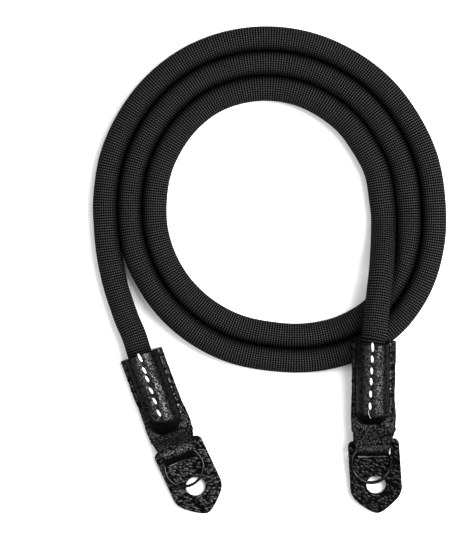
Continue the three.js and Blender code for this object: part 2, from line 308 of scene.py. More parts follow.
def scale_uv(piece, across, along):
    """Gives the UV map real sizes."""
    layer = piece.data.uv_layers[UV_NAME].data
    uv = np.empty(len(layer) * 2, np.float32)
    layer.foreach_get("uv", uv)
    uv[0::2] *= across
    uv[1::2] *= along
    layer.foreach_set("uv", uv)


# %% [markdown]
# ## Turns that touch
#
# The rope's cover is soft, so two turns that run side by side bulge until they touch, and no white
# table shows between them. Each ring of the tube needs to know how far away the next turn is. A k-d
# tree finds the rings that are near. Those within a few centimetres along the rope belong to the same
# turn and don't count.

# %% The rings of the rope, and the turns beside them

COLUMNS = 32
FLOAT_LENGTH = 1.05  # along the rope, from one float to the next in a column
half_floats = round(rope_length / (FLOAT_LENGTH / 2))
ring_points, _ = evenly(rope_line, half_floats + 1)
ring_up, ring_side = side_vectors(ring_points)

OWN_REACH = round(30 / (FLOAT_LENGTH / 2))  # rings of the same turn that don't count
FAR_TURN = 11.6  # a turn whose centre line is farther away doesn't press on this one
SIDEWAYS = 0.9  # share of the distance that has to lie across the ring

turns = kdtree.KDTree(len(ring_points))
for number, point in enumerate(ring_points):
    turns.insert(point, number)
turns.balance()


def spacing(number, side):
    """How far the next turn's centre line is on one side of a ring, up to a limit"""
    near = [FAR_TURN]
    for point, other, away in turns.find_range(ring_points[number], FAR_TURN):
        aside = (np.array(point) - ring_points[number]) @ ring_side[number] * side
        if abs(other - number) > OWN_REACH and aside > SIDEWAYS * away:
            near.append(away)
    return min(near)


beside = {side: np.array([spacing(n, side) for n in range(len(ring_points))]) for side in (1, -1)}
print("turns lie", round(float(min(beside[1].min(), beside[-1].min())), 2), "mm apart or more")

# %% The braided rope

FLOAT_RELIEF = 0.07  # from the cover's middle height up to a crest, or down to a valley
FLATTENED = 0.85  # share of that relief that is gone where the cover is pressed flat
LEAST_BULGE, MOST_BULGE = 0.14, 0.9
OVERLAP = 0.06  # how far two covers that touch sink into each other
SMOOTHED = 15  # rings on each side that a bulge is averaged over


def bulge(side):
    """How far each ring bulges sideways. Where a turn runs close by, it bulges until the two touch."""
    space = beside[side]
    meeting = np.clip(space / 2 - ROPE_RADIUS + OVERLAP, LEAST_BULGE, MOST_BULGE)
    meeting = np.where(space < FAR_TURN, meeting, LEAST_BULGE)
    window = np.ones(2 * SMOOTHED + 1)
    return np.convolve(np.pad(meeting, SMOOTHED, "edge"), window / len(window), "valid")


bulges = {side: bulge(side) for side in (1, -1)}


def on_the_rope(u, v, column, row):
    angle = 2 * math.pi * column / COLUMNS
    sideways = np.cos(angle)
    pressed = sideways**6  # near 1 only where the cover faces straight sideways
    packed = np.where(sideways > 0, bulges[1][row], bulges[-1][row])
    crest = np.where(row % 2 == 0, FLOAT_RELIEF, -FLOAT_RELIEF)
    radius = ROPE_RADIUS + packed * pressed + crest * (1 - FLATTENED * pressed)
    outwards = sideways[:, None] * ring_side[row] + np.sin(angle)[:, None] * ring_up[row]
    return (ring_points[row] + radius[:, None] * outwards) * MM


rope = grid_mesh("braided_rope", COLUMNS, half_floats, on_the_rope, closed=True)
scale_uv(rope, 1, rope_length * MM)
print(len(rope.data.polygons), "faces in the rope")

# %% [markdown]
# ## Painted shade in the grooves
#
# Between two turns the rope is nearly black, because real yarns swallow what little light gets there. The
# tube is too smooth for that, so each corner of the mesh gets a number that says how open the place is,
# and the material paints shade on the yarns by it. It is 0 deep in a groove and 1 out of it, and it is
# lower again inside the sleeves' mouths, where the painted shade deepens.

# %% How deep in a groove each place lies

SHADE = "openness_for_painted_shade"
NEAREST, CLEAR = 5.5, 8.6  # from the next turn's centre line: deep in the groove, and out of it
MOUTH_LIGHT, MOUTH_REACH = 0.4, 7  # share of light in the mouth, and how far on it would be one more

mouths = [sleeve_point(end, 0) for end in ends.values()]
centres = [Vector(p) for p in ring_points]
corners = np.empty(len(rope.data.vertices) * 3)
rope.data.vertices.foreach_get("co", corners)
open_share = []
for corner in corners.reshape(-1, 3) / MM:
    _, own, _ = turns.find(corner)
    near = [away for _, ring, away in turns.find_range(corner, CLEAR) if abs(ring - own) > OWN_REACH]
    share = np.clip((min(near, default=CLEAR) - NEAREST) / (CLEAR - NEAREST), 0, 1)
    to_mouth = min((centres[own] - mouth).length for mouth in mouths)
    # near a sleeve's mouth the open share falls too, which deepens the painted shade there
    open_share.append(share * np.clip(MOUTH_LIGHT + to_mouth / MOUTH_REACH, 0, 1))
store(rope, SHADE, open_share)
print("rope corners in a groove:", sum(share < 0.5 for share in open_share))

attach(rope, "root")
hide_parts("rope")

# %% [markdown]
# ## A small language for materials
#
# Materials are node graphs. Written out by hand they hide the idea behind dozens of lines that make
# and link nodes, so a small class does the linking: it makes a node, sets its sockets by name, and
# takes either a number or another node's output for each of them.

# %% Node helpers


class Graph:
    """Builds one material's node tree."""

    def __init__(self, name):
        self.material = bpy.data.materials.new(name)
        self.material.use_nodes = True
        self.nodes = self.material.node_tree.nodes
        self.links = self.material.node_tree.links
        self.shader = self.nodes["Principled BSDF"]

    def set(self, socket, value):
        if isinstance(value, bpy.types.NodeSocket):
            self.links.new(value, socket)
        else:
            socket.default_value = value

    def node(self, kind, output=0, settings=None, **inputs):
        made = self.nodes.new(kind)
        for key, value in (settings or {}).items():
            setattr(made, key, value)
        for key, value in inputs.items():
            self.set(made.inputs[key.replace("_", " ")], value)
        return made.outputs[output]

    def math(self, operation, *values):
        made = self.nodes.new("ShaderNodeMath")
        made.operation = operation
        for socket, value in zip(made.inputs, values):
            self.set(socket, value)
        return made.outputs[0]

    def add(self, a, b):
        return self.math("ADD", a, b)

    def times(self, a, b):
        return self.math("MULTIPLY", a, b)

    def range(self, value, low, high, to_low=0.0, to_high=1.0):
        """A clamped straight ramp"""
        made = self.nodes.new("ShaderNodeMapRange")
        for socket, number in zip(made.inputs, (value, low, high, to_low, to_high)):
            self.set(socket, number)
        return made.outputs[0]

    def mix(self, share, a, b):
        """A mix of two colours"""
        made = self.nodes.new("ShaderNodeMix")
        made.data_type = "RGBA"
        self.set(made.inputs[0], share)
        self.set(made.inputs[6], a)
        self.set(made.inputs[7], b)
        return made.outputs[2]

    def surface(self, **values):
        for key, value in values.items():
            self.set(self.shader.inputs[key.replace("_", " ")], value)

    def bump(self, height, distance, strength=1.0, under=None):
        made = self.nodes.new("ShaderNodeBump")
        made.inputs["Distance"].default_value = distance
        self.set(made.inputs["Strength"], strength)
        self.set(made.inputs["Height"], height)
        if under is not None:
            self.set(made.inputs["Normal"], under)
        return made.outputs[0]


def grey(value, blue=0.0):
    return (value, value, value * (1 + blue), 1)


# %% [markdown]
# ## The braid's material
#
# The pattern needs only arithmetic. Let c count the columns round the rope and d the floats along it.
# A triangle wave of c, added to d, leans the floats one way in even columns and the other way in odd
# ones. A cosine of the sum is high on each float and low between two of them, and a cosine of c is high
# along the middle of each column. Where both are low the yarns dive under, and the shade there is painted
# as a near-black colour.
#
# In the grooves between the turns, and inside the sleeves' mouths, all of it fades to that same dark, as
# painted shade.

# %% Braid material

FILAMENTS = 4  # visible across one float
LEAN = 0.3  # of a float's length, across one column
BETWEEN = 0.2  # height of a float between two columns
GROOVE_LIGHT = 0.03  # what is left of it deep in a groove
# painted shade where the yarns dive under
dive_shade_colour = grey(0.002)
yarn_colours = grey(0.029, 0.02), grey(0.078, 0.02)

braid = Graph("braided_nylon")
split = braid.nodes.new("ShaderNodeSeparateXYZ")
braid.links.new(braid.node("ShaderNodeUVMap", settings={"uv_map": UV_NAME}), split.inputs[0])
count_round = braid.times(split.outputs[0], COLUMNS)
count_along = braid.times(split.outputs[1], half_floats / 2 / (rope_length * MM))
zigzag = braid.math("PINGPONG", braid.add(count_round, 0.5), 1.0)
float_place = braid.times(braid.add(count_along, braid.times(zigzag, LEAN)), 2 * math.pi)
on_float = braid.range(braid.math("COSINE", float_place), -1.0, 1.0)
on_column = braid.range(braid.math("COSINE", braid.times(count_round, 2 * math.pi)), -1.0, 1.0)
braid_height = braid.times(on_float, braid.range(on_column, 0.0, 0.6, BETWEEN, 1.0))
filaments = braid.math("SINE", braid.times(float_place, FILAMENTS))
relief = braid.add(braid_height, braid.times(filaments, 0.06))

# painted shade: how open each place is, as the mesh holds it
open_to_light = braid.node("ShaderNodeAttribute", 2, settings={"attribute_name": SHADE})
groove_light = braid.range(open_to_light, 0.0, 1.0, GROOVE_LIGHT, 1.0)
# 0 where the yarns dive under or deep in a groove: there the colour is the painted dive shade, and the
# specular level falls with it
lit = braid.times(braid.range(braid_height, 0.15, 0.85), groove_light)
place_on_rope = braid.node("ShaderNodeTexCoord", 3)
tone_change = braid.node("ShaderNodeTexNoise", Scale=900.0, Detail=2.0, Vector=place_on_rope)
braid.surface(
    Base_Color=braid.mix(lit, dive_shade_colour, braid.mix(tone_change, *yarn_colours)),
    Roughness=braid.range(lit, 0.0, 1.0, 0.95, 0.6),
    Specular_IOR_Level=braid.times(lit, 0.5),
    Normal=braid.bump(relief, 0.25 * MM, 1.0),
    IOR=1.2,
)
rope.data.materials.append(braid.material)

# %% [markdown]
# ## Leather grain in the mesh
#
# The leather's grain is a field of small soft pebbles with creases between them, as a cell pattern
# gives it. The nearest cell point and the second nearest are equally far away in a crease. What their
# distances differ by makes flat pebbles, and the nearest distance alone makes domes. Bending the space
# a little first keeps the cells from looking like tiles, and stretching it gives them a direction.
#
# The coarse pebbles are moved into the mesh, so that they catch the light as real relief. They also
# say how polished each place is, as handling polishes only the crowns. The material adds the finer
# grain.

# %% Pebbles

NOISE_SEED = 8  # without one, the vector noise is different each time Blender starts
SPACE_BEND = 0.35  # in cells
DOME, DOME_CREASE, DOME_CREASE_WIDTH = 1.5, 0.35, 0.25
FLAT_CREASE_WIDTH = 0.42
POLISH = "polish"
noise.seed_set(NOISE_SEED)


def pebbles(points, cell, stretch=1.0, turn=0.0, seed=0.0, domed=1.0):
    """Heights from 0 in a crease to 1 on a pebble, for points in millimetres. Domed pebbles are round
    and stand apart, and the others are flat cells with narrow creases."""
    lean = Matrix.Rotation(math.radians(turn), 3, "Z")
    heights = []
    for point in points:
        p = lean @ Vector(point)
        p.x /= stretch
        p = p / cell + Vector((seed, seed, seed))
        p += SPACE_BEND * noise.noise_vector(p * 0.9)
        near, second = noise.voronoi(p)[0][:2]
        crease = 1 - min(1.0, (second - near) / DOME_CREASE_WIDTH)
        dome = 1 - DOME * near * near - DOME_CREASE * crease * crease
        wall = min(1.0, (second - near) / FLAT_CREASE_WIDTH)
        heights.append(domed * dome + (1 - domed) * wall * (2 - wall))
    return np.array(heights)


def bumps(points, size, seed=0.0):
    """Slow rises and dips from -1 to 1"""
    return np.array([noise.noise(Vector(p) / size + Vector((seed, 0, seed))) for p in points])


def crown_polish(pebble, dull_below, over, least):
    """The pebbles' crowns are polished, and the creases between them stay dull."""
    return np.clip((pebble - dull_below) / over, least, 1)


# %% [markdown]
# ## The moulded sleeves
#
# Each sleeve is one strip of leather. It starts at the back of the mouth, runs under the rope's end
# and on to its fold, turns round the ring and the tab's bar, and comes back on top. There it was
# pressed wet over the rope, so that it stands up in an arch between two flat wings. White thread
# pulls a shallow groove into the arch's crown.
#
# The strip is a flat grid: one direction goes across it, and the other follows it round the fold.
# One formula gives the line across the arch, one says how much of the arch is left at each distance
# from the mouth, and one takes the strip round the fold. A modifier gives it its thickness.
#
# The cut edges aren't quite straight, and differ between the sleeves. Short tables hold such curves:
# distances along the strip, and the value at each.

# %% The strip's own measures, in millimetres

ARCH_RADIUS = 6.46
STRIP_TOP = 2.5  # of the two layers together
FOLD_TOP = 6.5
LEVEL_AFTER = 34.3  # the distance from the mouth where nothing is left of the arch
FOLD_PART = 10  # the last part before the fold, which has its own table of widths

# by distance from the mouth: half the width, the share of the arch's height and of its width that is
# left, and the height of the flat strip past it
strip_width = [(0, 8.75), (10, 8.75), (20, 8.8), (29, 9.0), (31.4, 9.0), (33.3, 8.85), (34.3, 8.7)]
arch_left = [
    (28.3, 1.0), (29.1, 0.965), (29.9, 0.87), (30.8, 0.71), (31.8, 0.48), (32.8, 0.25), (33.6, 0.08),
    (34.3, 0),
]
arch_spread = [
    (27.5, 1.0), (29, 0.97), (30.2, 0.91), (31.4, 0.82), (32.4, 0.71), (33.3, 0.6), (34.3, 0.52),
]
front_height = [(34.3, 2.5), (36.0, 2.7)]
# by distance back from the fold: half the width, and the height
fold_width = [
    (10.0, 8.3), (8.6, 8.05), (7.2, 7.8), (5.8, 7.5), (4.4, 7.15), (3.2, 6.8), (2.0, 6.5), (0, 6.35),
]
fold_height = [
    (13.5, 2.5), (12, 2.75), (10.5, 3.35), (9, 4.1), (7.5, 4.95), (6, 5.75), (4.8, 6.25), (3.6, 6.5),
]
# the arch's hollow foot: places out from its middle, and heights over the flat strip
arch_foot = [(7.65, 0), (7.1, 0.22), (6.66, 0.95), (6.58, 2.1)]

# how much farther out the two cut edges run, by distance from the mouth: first the left edge
left_end_edges = (
    [(0, 0.4), (16, 0.42), (20, 0.1), (28, 0.05), (31, 0.2), (38, 0.25), (40, 0)],
    [(0, -0.25), (24, -0.15), (28, 0.2), (31, 0.38), (37.5, 0.45), (40, 0)],
)
right_end_edges = (
    [(0, -0.35), (21, -0.5), (30, -0.38), (34.5, -0.2), (37.5, -0.4), (40, 0)],
    [
        (0, 0.65), (8, 0.65), (10, 0.45), (17, 0.4), (20, 0.18), (24, 0.1), (30, 0.55), (37.5, 0.66),
        (40, 0),
    ],
)
each_end(edges=(left_end_edges, right_end_edges))


def lookup(table, at, soften=0.0):
    """Values between a table's rows. Its line's corners are rounded over twice the distance soften."""
    rows = sorted(table)
    steps = soften * np.linspace(-1, 1, 9)
    places, values = zip(*rows)
    return np.mean([np.interp(at + s, places, values) for s in steps], axis=0)


def ramp(value, start, over):
    """0 up to the start, and 1 from there on once over is passed. It falls where over is negative."""
    return np.clip((value - start) / over, 0, 1)


print("strip", 2 * strip_width[0][1], "mm wide at the mouth")

# %% The line across the strip

EDGE_MARGIN = 0.2  # the line's inner points keep this far from the cut edges
FOLD_SOFTNESS = 1.2


def strip_edges(end, distance):
    """Where the strip's left and right cut edges are across it"""
    before = end["fold"] - distance
    half = lookup(strip_width, distance) if before > FOLD_PART else lookup(fold_width, before)
    left, right = (lookup(table, distance) for table in end["edges"])
    return -half - left, half + right


def arch_section(end, distance):
    """Points across the strip's top at one distance from the mouth, from the left edge to the right,
    as places across and heights. The arch sinks and narrows where the rope has ended."""
    left_edge, right_edge = strip_edges(end, distance)
    lift, spread = lookup(arch_left, distance), lookup(arch_spread, distance)
    if distance < LEVEL_AFTER:
        top = STRIP_TOP
    else:
        to_fold = end["fold"] - distance
        top = max(lookup(front_height, distance), lookup(fold_height, to_fold, FOLD_SOFTNESS))
    crown = end["crown"] * spread
    left = [(-out, STRIP_TOP + up) for out, up in arch_foot]
    turn = [math.radians(a) for a in range(180, -1, -12)]
    arch = [(ARCH_RADIUS * math.cos(a), AXIS_HEIGHT + ARCH_RADIUS * math.sin(a)) for a in turn]
    right = [(-x, z) for x, z in reversed(left)]
    line = [(crown + x * spread, top + (z - STRIP_TOP) * lift, 0) for x, z in (*left, *arch, *right)]
    line = [p for p in line if left_edge + EDGE_MARGIN < p[0] < right_edge - EDGE_MARGIN]
    return spline([(left_edge, top, 0), *line, (right_edge, top, 0)], 6)


# %% The strip as a sheet

ACROSS = 132
BACK_ROWS, NOSE_ROWS, FRONT_ROWS = 50, 24, 190
NOSE = 3.25  # how far before the fold the strip starts to turn
NOSE_POWER = 2.6  # 2 makes the turn round, and more makes it squarer
MOUTH_CUT_REACH = 10
each_end(
    nose_more=(0.6, 0.0),  # how far the folded end stands out past the fold
    nose_skew=(0.25, 0.0),  # how skew it is, at the strip's edges
)


def squareness(c, s, power):
    """What a circle's cosine and sine are multiplied with to make it squarer"""
    return (abs(c) ** power + abs(s) ** power) ** (-1 / power)


def strip_places(end):
    """Every corner of the sheet in the leather end's own millimetres, row by row: along the back,
    round the fold and forward again on top."""
    fold = end["fold"]
    back = [(d, 0.0) for d in np.linspace(0, fold - NOSE, BACK_ROWS, endpoint=False)]
    nose = []
    for a in np.linspace(-math.pi / 2, math.pi / 2, NOSE_ROWS + 1):
        c, s = math.cos(a), math.sin(a)
        square = squareness(c, s, NOSE_POWER)
        reach = (NOSE + end["nose_more"]) * c * square
        nose.append((fold - NOSE + reach, FOLD_TOP / 2 * (1 + s * square)))
    front = [(d, None) for d in np.linspace(fold - NOSE, 0, FRONT_ROWS + 1)[1:]]
    rows = []
    for distance, height in (*back, *nose, *front):
        if height is None:
            section, _ = evenly(arch_section(end, distance), ACROSS + 1)
        else:
            across = np.linspace(*strip_edges(end, distance), ACROSS + 1)
            section = np.column_stack([across, np.full(ACROSS + 1, height)])
        x, z = section[:, 0], section[:, 1]
        cut = end["nose_skew"] * x / 8 * ramp(distance, fold - 2 * NOSE, NOSE)
        if height is None:
            rise = (z - STRIP_TOP) / (AXIS_HEIGHT + ARCH_RADIUS - STRIP_TOP)
            cut = cut + end["mouth_cut"] * rise * ramp(distance, MOUTH_CUT_REACH, -MOUTH_CUT_REACH)
        rows.append(np.column_stack([x, -distance + cut, z]))
    return np.array(rows)


# %% The groove under the stitches

GROOVE_DEPTH, GROOVE_WIDTH = 0.6, 1.15
SWELL, SWELL_PLACE = 0.14, 1.9  # the low swells beside it: height, and place in groove widths
SEAM_END, SEAM_FADE = 30.0, 3
each_end(seam=([(0, -0.2), (26, -0.8)], [(0, -0.35), (27, -1.45)]))  # by distance from the mouth


def seam_across(end, distance):
    """Where the seam runs, measured from the strip's middle"""
    return end["crown"] + lookup(end["seam"], distance)


def groove(end, x, distance):
    """How far the seam pulls the leather down, with a low swell on each side of it"""
    away = (x - seam_across(end, distance)) / GROOVE_WIDTH
    swells = SWELL * np.exp(-((np.abs(away) - SWELL_PLACE) ** 2))
    return ramp(distance, SEAM_END, -SEAM_FADE) * (GROOVE_DEPTH * np.exp(-(away**2)) - swells)


# %% [markdown]
# ## Smooth, dull and polished places
#
# The press stretches the leather where it is steep: on the arch's flanks, and on the slope past the
# rope's end. There it is smooth and dull, and black in the photograph. The crown between them is
# rubbed bright, apart from the seam's groove. The folded end and the cut edges are dull too. Each of
# these places is a zone: a number from 0 to 1 for every corner of the sheet, which weighs how deep
# and how polished the grain is.

# %% The zones of a sleeve

ROPE_END, SLOPE_END = 28.3, 35.0  # the dull slope lies between these distances from the mouth
SLOPE_REACH = 7.0  # to each side of the crown
STEEP_NORMAL, STEEP_FADE = 0.83, 0.12  # how much a steep place's normal still points up
FLAT_AFTER = 33.5
UNEVEN = 2.0  # size of the bumps in the slope's border
each_end(
    slope_skew=(0.6, 0.25),  # how much later the slope starts for each millimetre to the right
    slope_to=(2.6, 7.5),  # how far to the right it reaches
    nose_dark=(2.9, 2.8),  # length of the dull folded end
)


def grid_normals(places):
    """Unit normals of a sheet of places, on the side that faces out of the strip"""
    normals = np.cross(np.gradient(places, axis=1), np.gradient(places, axis=0))
    return normals / np.linalg.norm(normals, axis=2)[:, :, None]


def sleeve_zones(end, places, normals, seed):
    """How much each corner of the sheet belongs to each zone, and how far it is from a cut edge"""
    flat = places.reshape(-1, 3)
    x, distance, z = flat[:, 0], -flat[:, 1], flat[:, 2]
    front = np.repeat(np.arange(len(places)) > BACK_ROWS + NOSE_ROWS, ACROSS + 1)
    arch = front & (z > STRIP_TOP + 0.3) & (distance < LEVEL_AFTER)
    steep = arch * ramp(normals[:, 2], STEEP_NORMAL, -STEEP_FADE)

    uneven = bumps(flat, UNEVEN, seed + 3)
    start = ROPE_END + end["slope_skew"] * np.clip(x + 1, -3, 3) + 0.8 * uneven
    reach = SLOPE_REACH * lookup(arch_spread, distance) + uneven
    slope = front * ramp(distance, start, 0.9) * ramp(distance, SLOPE_END + uneven, -1.4)
    slope = slope * ramp(np.abs(x - end["crown"]), reach, -1.5) * ramp(x, end["slope_to"], -2)

    across = places[:, :, 0]
    to_edge = np.minimum(across - across[:, :1], across[:, -1:] - across).reshape(-1)
    return {
        "front": front,
        "arch": arch,
        "steep": steep,
        "left_flank": steep * (x < end["crown"]),
        "slope": slope,
        "nose": ramp(distance, end["fold"] - end["nose_dark"], 1),
        "flat": front * ramp(distance, FLAT_AFTER, 2),
        "to_edge": to_edge,
    }


# %% The sleeve's relief and polish

SLEEVE_PEBBLE, SLEEVE_RELIEF, PEBBLE_MIDDLE = 0.82, 0.12, 0.6
SLEEVE_GRAIN = 1.3, 32  # how much the pebbles are stretched, and in which direction
SLEEVE_DOMED = 0.7
SMOOTHED_GRAIN = 0.7  # share of the grain that the press has smoothed away where it is steep
SWAY, SWAY_SIZE = 0.07, 3.2  # slow unevenness of the whole strip
PULL, PULL_SIZE = 0.10, 1.5  # pulls in the leather along the arch
along_arch = np.array([1.0, 0.45, 1.0])
SEAM_DULL, SEAM_WIDTH = 0.6, 0.9
EVEN_POLISH = 0.16  # share of the crown's polish that doesn't follow the pebbles
RIGHT_DULL, SLOPE_DULL, MOST_DULL = 0.8, 0.95, 0.94
each_end(
    left_dull=(0.82, 0.62),  # share of the left flank's polish that is gone
    flat_polish=(1.6, 0.6),  # how much the flat strip past the arch is polished
)


def sleeve_relief(end, flat, zone, pebble, seed):
    """How far each corner moves outwards"""
    grain = 1 - SMOOTHED_GRAIN * np.clip(zone["left_flank"] + zone["slope"], 0, 1)
    grain *= ramp(zone["to_edge"], -0.64, 1.6)
    move = SLEEVE_RELIEF * grain * (pebble - PEBBLE_MIDDLE)
    move += SWAY * bumps(flat, SWAY_SIZE, seed) * zone["front"]
    move += PULL * bumps(flat * along_arch, PULL_SIZE, seed + 7) * zone["arch"] * grain
    return move - np.where(zone["arch"], groove(end, flat[:, 0], -flat[:, 1]), 0)


def sleeve_polish(end, flat, zone, pebble):
    x, distance = flat[:, 0], -flat[:, 1]
    polish = crown_polish(pebble, 0.3, 0.52, 0.03) * (1 + (end["flat_polish"] - 1) * zone["flat"])
    from_seam = (x - seam_across(end, distance)) / SEAM_WIDTH
    polish *= 1 - SEAM_DULL * zone["arch"] * np.exp(-(from_seam**2))
    even_share = EVEN_POLISH * zone["arch"] * (1 - zone["steep"])
    polish = even_share + (1 - even_share) * polish
    flank_dull = np.where(x < end["crown"], end["left_dull"], RIGHT_DULL)
    dull = flank_dull * zone["steep"] + SLOPE_DULL * zone["slope"] + zone["nose"]
    return polish * (1 - MOST_DULL * np.clip(dull, 0, 1)) * ramp(zone["to_edge"], -0.52, 1.3)


# %% Leather material

FINE = 1900.0  # cells of the fine grain to a metre

leather = Graph("pebbled_leather")
place_on_it = leather.node("ShaderNodeTexCoord", 3)
polished = leather.node("ShaderNodeAttribute", 2, settings={"attribute_name": POLISH})
to_crease = {"feature": "DISTANCE_TO_EDGE"}
fine_cells = leather.node("ShaderNodeTexVoronoi", settings=to_crease, Vector=place_on_it, Scale=FINE)
creases = leather.range(fine_cells, 0.0, 0.12)
pores = leather.node(
    "ShaderNodeTexNoise", Vector=place_on_it, Scale=2 * FINE, Detail=3.0, Roughness=0.6
)
patches = leather.node("ShaderNodeTexNoise", Vector=place_on_it, Scale=260.0, Detail=3.0)
fine_relief = leather.add(leather.times(creases, 0.5), leather.times(pores, 0.5))
leather.surface(
    Base_Color=leather.mix(patches, grey(0.001, 0.05), grey(0.004, 0.05)),
    Roughness=leather.range(polished, 0.0, 1.0, 0.7, 0.24),
    Specular_IOR_Level=leather.times(polished, 0.68),
    Normal=leather.bump(fine_relief, 0.05 * MM, 0.6),
)

# %% Make a sleeve

CUT_ROUNDING, CUT_ANGLE = 0.18, 62  # the cut edges are rounded where the faces meet this sharply


def make_sleeve(side, seed):
    end = ends[side]
    places = strip_places(end)
    count = len(places)
    flat = places.reshape(-1, 3)
    normals = grid_normals(places).reshape(-1, 3)
    zone = sleeve_zones(end, places, normals, seed)
    pebble = pebbles(flat, SLEEVE_PEBBLE, *SLEEVE_GRAIN, seed, SLEEVE_DOMED)
    polish = sleeve_polish(end, flat, zone, pebble).reshape(count, ACROSS + 1)
    flat = flat + normals * sleeve_relief(end, flat, zone, pebble, seed)[:, None]

    world = in_metres(end_matrix(end), flat).reshape(count, ACROSS + 1, 3)

    def on_the_strip(u, v, column, row):
        return world[row, column]

    piece = grid_mesh(f"{side}_leather_sleeve", ACROSS, count - 1, on_the_strip)
    values = np.ones(len(piece.data.vertices))
    for loop, place in zip(piece.data.loops, piece.data.uv_layers[UV_NAME].data):
        u, v = place.uv
        values[loop.vertex_index] = polish[round(v * (count - 1)), round(u * ACROSS)]
    store(piece, POLISH, values)

    thickness = piece.modifiers.new("thickness", "SOLIDIFY")
    thickness.thickness = LEATHER * MM
    thickness.offset = -1
    rounding = piece.modifiers.new("cut edges", "BEVEL")
    rounding.width = CUT_ROUNDING * MM
    rounding.segments = 2
    rounding.limit_method = "ANGLE"
    rounding.angle_limit = math.radians(CUT_ANGLE)
    piece.data.materials.append(leather.material)
    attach(piece, "root")
    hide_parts(f"{side}_sleeve")
    print(side, "sleeve:", len(piece.data.polygons), "faces in its sheet")


make_sleeve("left", 3.0)
make_sleeve("right", 11.0)

# %% [markdown]
# ## The pointed tabs
#
# Each tab is a flat piece of thicker leather with a slot, a round hole and a point. The CAD solid has
# the right shape but only a few large faces, which can't carry a grain. Remeshing a copy of it gives
# small even faces, a little smoothing rounds the cut edges, and then the pebbles are moved into it.
# The copy is turned into the tab's own directions first, so that the faces line up with its sides.
#
# In the photograph the tabs hang a little more askew and are a little wider than in the CAD model, so
# the copy gets that last turn and stretch.

# %% Where the tabs and rings are

TAB_THICKNESS = 1.8
TAB_BAR = 2.5
RING_OUT, RING_WIRE, TURN_HEIGHT = 8.4, 1.0, 0.7
RING_DOWN = 9.7  # from the tab's top edge


def tab_matrix(end):
    """From a tab's own millimetres, with zero at the middle of its top edge"""
    slope = math.asin((LEATHER + GAP) / (TAB_LENGTH - TAB_BAR))
    rise = TAB_BAR * math.sin(slope)
    return (
        end_matrix(end)
        @ Matrix.Translation((end["tab_shift"], TAB_BEFORE_FOLD - end["fold"], LEATHER + GAP + rise))
        @ Matrix.Rotation(math.radians(end["tab_lean"]), 4, "Z")
        @ Matrix.Rotation(slope, 4, "X")
    )


def ring_centre(end):
    """The middle of a ring's underside in its tab's millimetres"""
    across = end["ring_shift"] - end["tab_shift"] - RING_DOWN * math.sin(math.radians(end["tab_lean"]))
    return Vector((across, -RING_DOWN, TAB_THICKNESS + GAP))


# %% Make a tab

TAB_VOXEL = 0.24
SMOOTHING_ROUNDS = 5
TAB_RELIEF, TAB_MIDDLE = 0.32, 0.75
TAB_WIDER = 1.025
each_end(
    tab_turn=(1.7, 1.2),  # degrees
    tab_grain=((0.85, 1.9, 30), (0.8, 2.5, 38)),  # size of a pebble, stretch and direction
    tab_crease=(0.4, 0.53),  # pebble height below which the leather is dull
)


def make_tab(side, seed):
    end = ends[side]
    to_world = Matrix.Scale(MM, 4) @ tab_matrix(end)
    bm = bmesh.new()
    bm.from_mesh(frame["nodes"][f"{side}_tab"].data)
    bmesh.ops.remove_doubles(bm, verts=bm.verts, dist=0.001 * MM)
    bmesh.ops.transform(bm, matrix=to_world.inverted(), verts=bm.verts)
    piece = mesh_object(f"{side}_leather_tab", bm)
    remesh = piece.modifiers.new("even faces", "REMESH")
    remesh.mode = "VOXEL"
    remesh.voxel_size = TAB_VOXEL
    even = bpy.data.meshes.new_from_object(piece.evaluated_get(bpy.context.evaluated_depsgraph_get()))
    piece.modifiers.clear()

    bm = bmesh.new()
    bm.from_mesh(even)
    for _ in range(SMOOTHING_ROUNDS):
        bmesh.ops.smooth_vert(
            bm, verts=bm.verts, factor=0.5, use_axis_x=True, use_axis_y=True, use_axis_z=True
        )
    bm.normal_update()
    pebble = pebbles([v.co.copy() for v in bm.verts], *end["tab_grain"], seed)
    upright = np.array([abs(v.normal.z) for v in bm.verts])
    relief = TAB_RELIEF * (pebble - TAB_MIDDLE) * np.clip(upright, 0.25, 1)
    for v, height in zip(bm.verts, relief):
        v.co += v.normal * height
    askew = Matrix.Rotation(math.radians(end["tab_turn"]), 4, "Z")
    askew = askew @ Matrix.Scale(TAB_WIDER, 4, (1, 0, 0))
    bmesh.ops.transform(bm, matrix=to_world @ askew, verts=bm.verts)
    bm.to_mesh(piece.data)
    bm.free()
    bpy.data.meshes.remove(even)
    piece.data.polygons.foreach_set("use_smooth", np.ones(len(piece.data.polygons), bool))
    store(piece, POLISH, crown_polish(pebble, end["tab_crease"], 0.4, 0.02))
    piece.data.materials.append(leather.material)
    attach(piece, "root")
    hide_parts(f"{side}_tab")
    print(side, "tab:", len(piece.data.polygons), "faces")


make_tab("left", 23.0)
make_tab("right", 31.0)

# %% [markdown]
# ## The split rings
#
# A split ring is a flat spring wire wound twice round, with a short step where it passes from the
# lower turn to the upper one. The same wrapped grid makes it: the line is the wire's middle, and the
# section is a flat rounded shape. The right ring's lower turn has sprung a little out of line, as the
# photo shows.

# %% Ring material

plated = Graph("dark_nickel")
place_on_ring = plated.node("ShaderNodeTexCoord", 3)
scuffs = plated.node("ShaderNodeTexNoise", Vector=place_on_ring, Scale=700.0, Detail=4.0)
plated.surface(
    Base_Color=grey(0.03, 0.03),
    Specular_Tint=grey(0.2),
    Metallic=1.0,
    Roughness=plated.range(scuffs, 0.35, 0.75, 0.05, 0.12),
)

# %% Make a ring

WIRE_SIDES, WIRE_STEPS = 16, 240
WIRE_POWER = 2.2  # how square the wire is, as for the folded leather
STEP_SHARE = 0.05  # of a turn, on each side of the step and at each end
each_end(
    ring_end=(120.0, 31.0),  # the direction of the wire's two ends in the picture, in degrees
    sprung=((0.0, 0.0), (-0.15, 0.1)),
)


